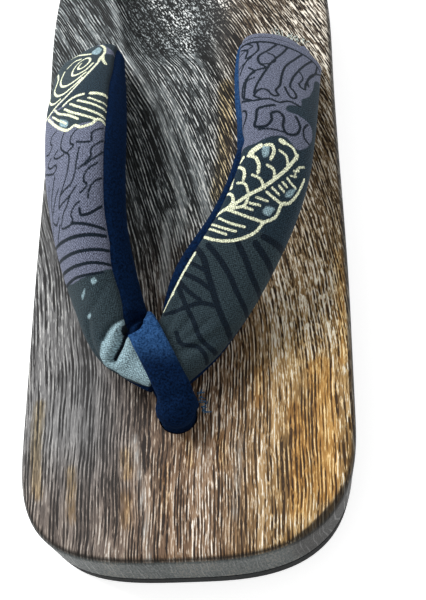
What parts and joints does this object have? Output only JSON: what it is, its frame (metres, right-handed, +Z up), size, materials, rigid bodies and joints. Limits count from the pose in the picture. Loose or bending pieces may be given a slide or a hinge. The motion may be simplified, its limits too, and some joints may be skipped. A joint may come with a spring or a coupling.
{
  "type": "geta sandal",
  "caption": "Left geta sandal: a charred, brushed wooden block on rubber pads, with a padded V strap and a velveteen toe loop.",
  "frame": {"origin": "on the floor, under the middle of the length and width of the sole", "axes": "+X towards the outer side of the left foot, +Y towards the heel, +Z up"},
  "size_m": [0.1022, 0.255, 0.0698],
  "materials": {
    "charred_wood": "charred and brushed, matt",
    "sponge_rubber": "matt sponge",
    "printed_cotton": "printed plain weave",
    "velveteen": "short dense nap",
    "cord": "twisted cord"
  },
  "bodies": {
    "root": {"wood_base": "charred_wood", "outsole_forefoot": "sponge_rubber", "outsole_heel": "sponge_rubber", "strap_face": "printed_cotton", "strap_backing": "velveteen", "toe_loop": "velveteen", "toe_knot": "cord", "rear_knot_outer": "cord", "rear_knot_inner": "cord"}
  },
  "joints": []
}
